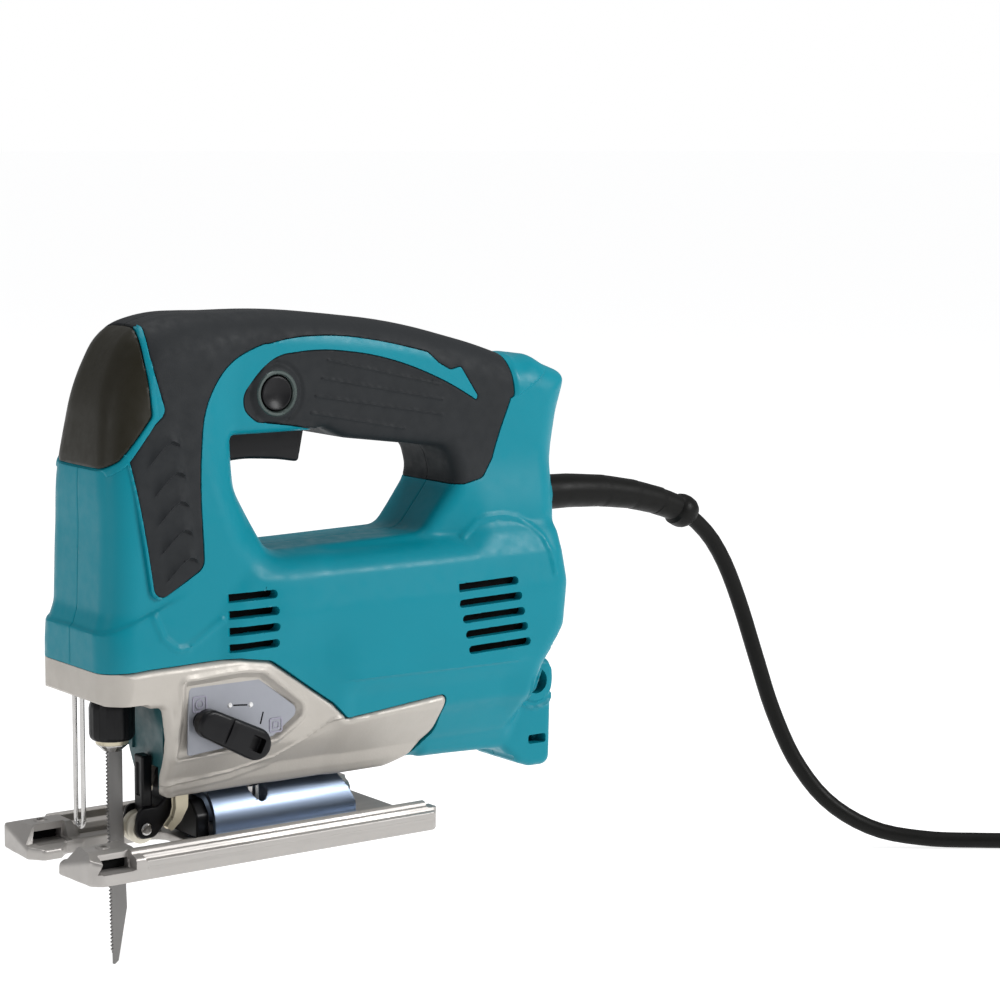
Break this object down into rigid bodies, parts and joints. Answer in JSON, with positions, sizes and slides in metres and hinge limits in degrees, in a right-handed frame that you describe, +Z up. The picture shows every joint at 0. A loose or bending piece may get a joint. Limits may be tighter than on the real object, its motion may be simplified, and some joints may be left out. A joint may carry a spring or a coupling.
{
  "type": "corded jigsaw",
  "caption": "Top-handle corded jigsaw with tilting shoe, orbital selector, roller-backed blade, trigger with lock button and mains cord.",
  "frame": {"origin": "on the sole of the shoe, in its middle plane, 77 mm behind its front edge", "axes": "+X from the nose to the cord end, +Z up from the sole to the handle, +Y to the tool's right side"},
  "size_m": [0.5709, 0.1627, 0.2498],
  "materials": {
    "teal_shell": "satin moulded, teal",
    "grip_rubber": "soft charcoal overmould",
    "cap_gloss": "dark brown-black, glossy",
    "black_plastic": "black moulded",
    "dark_teal": "dark teal moulded",
    "cast_metal": "satin casting",
    "shoe_metal": "brushed casting",
    "zinc_steel": "zinc plated",
    "steel": "ground steel",
    "blade_steel": "rolled tool steel",
    "laminate": "varnished laminations",
    "copper": "copper segments",
    "brass": "drawn brass",
    "carbon": "carbon",
    "cord_rubber": "black rubber cord"
  },
  "bodies": {
    "housing": {"housing_left": "teal_shell", "housing_right": "teal_shell", "grip_left": "grip_rubber", "grip_right": "grip_rubber", "nose_bumper": "cap_gloss", "gear_housing": "cast_metal", "wire_guard": "steel", "inner_guard": "dark_teal", "guide_holder": "steel", "lower_bush": "brass", "upper_bush": "brass", "fork_pin": "steel", "gear_axle": "steel", "front_bearing": "steel", "rear_bearing": "steel", "stator_field": "laminate", "carbon_brush_left": "carbon", "carbon_brush_right": "carbon", "brush_holder_left": "brass", "brush_holder_right": "brass", "switch_body": "black_plastic", "speed_controller": "black_plastic", "cord_clamp": "black_plastic", "housing_screw_1": "steel", "housing_screw_2": "steel", "housing_screw_3": "steel", "housing_screw_4": "steel", "bevel_bolt": "steel", "strain_relief": "cord_rubber", "power_cord": "cord_rubber", "cord_coil": "cord_rubber", "cord_tail": "cord_rubber", "plug_body": "cord_rubber", "plug_prong_left": "brass", "plug_prong_right": "brass"},
    "trigger_lever": {"trigger": "black_plastic"},
    "lock_knob": {"lock_button": "black_plastic"},
    "selector": {"orbital_lever": "black_plastic", "cam_shaft": "steel"},
    "fork": {"roller_fork": "black_plastic", "roller_pin": "steel"},
    "roller": {"guide_roller": "steel"},
    "plunger": {"plunger_rod": "steel", "clamp_collet": "steel", "saw_blade": "blade_steel"},
    "clamp": {"clamp_sleeve": "black_plastic"},
    "base": {"shoe": "shoe_metal", "bevel_bracket": "zinc_steel"},
    "armature": {"armature_shaft": "steel", "armature_core": "laminate", "commutator": "copper", "cooling_fan": "black_plastic", "pinion": "steel"},
    "crank": {"crank_gear": "steel", "crank_pin": "steel", "counterweight": "steel"}
  },
  "joints": [
    {"name": "trigger_pull", "type": "hinge", "parent": "housing", "child": "trigger_lever", "pos_m": [0.032, 0, 0.157], "axis": [0, 1, 0], "range_deg": [0, 7], "stiffness_Nm_per_rad": 0.6, "springref_deg": -2.86},
    {"name": "lock_press", "type": "slide", "parent": "housing", "child": "lock_knob", "axis": [0, 1, 0], "range_m": [0, 0.0025], "stiffness_N_per_m": 400, "springref_m": -0.001},
    {"name": "selector_turn", "type": "hinge", "parent": "housing", "child": "selector", "pos_m": [-0.025, 0, 0.0545], "axis": [0, -1, 0], "range_deg": [0, 75]},
    {"name": "fork_swing", "type": "hinge", "parent": "housing", "child": "fork", "pos_m": [-0.022, 0, 0.0275], "axis": [0, -1, 0], "range_deg": [0, 5], "stiffness_Nm_per_rad": 0.8, "springref_deg": -2.86},
    {"name": "roller_spin", "type": "hinge", "parent": "fork", "child": "roller", "pos_m": [-0.0364, 0, 0.0098], "axis": [0, 1, 0], "continuous": true},
    {"name": "plunger_stroke", "type": "slide", "parent": "housing", "child": "plunger", "axis": [0, 0, 1], "range_m": [0, 0.023]},
    {"name": "clamp_turn", "type": "hinge", "parent": "plunger", "child": "clamp", "pos_m": [-0.0475, 0, 0.053], "axis": [0, 0, 1], "range_deg": [0, 40], "stiffness_Nm_per_rad": 0.15, "springref_deg": -2.86},
    {"name": "shoe_tilt", "type": "hinge", "parent": "housing", "child": "base", "pos_m": [0, 0, 0.009], "axis": [1, 0, 0], "range_deg": [-45, 45]},
    {"name": "armature_spin", "type": "hinge", "parent": "housing", "child": "armature", "pos_m": [0, 0, 0.07], "axis": [1, 0, 0], "continuous": true},
    {"name": "crank_spin", "type": "hinge", "parent": "housing", "child": "crank", "pos_m": [0, 0, 0.097], "axis": [1, 0, 0], "continuous": true}
  ],
  "couplings": [
    {"joint": "crank_spin", "follows": "armature_spin", "ratio": -0.25}
  ]
}
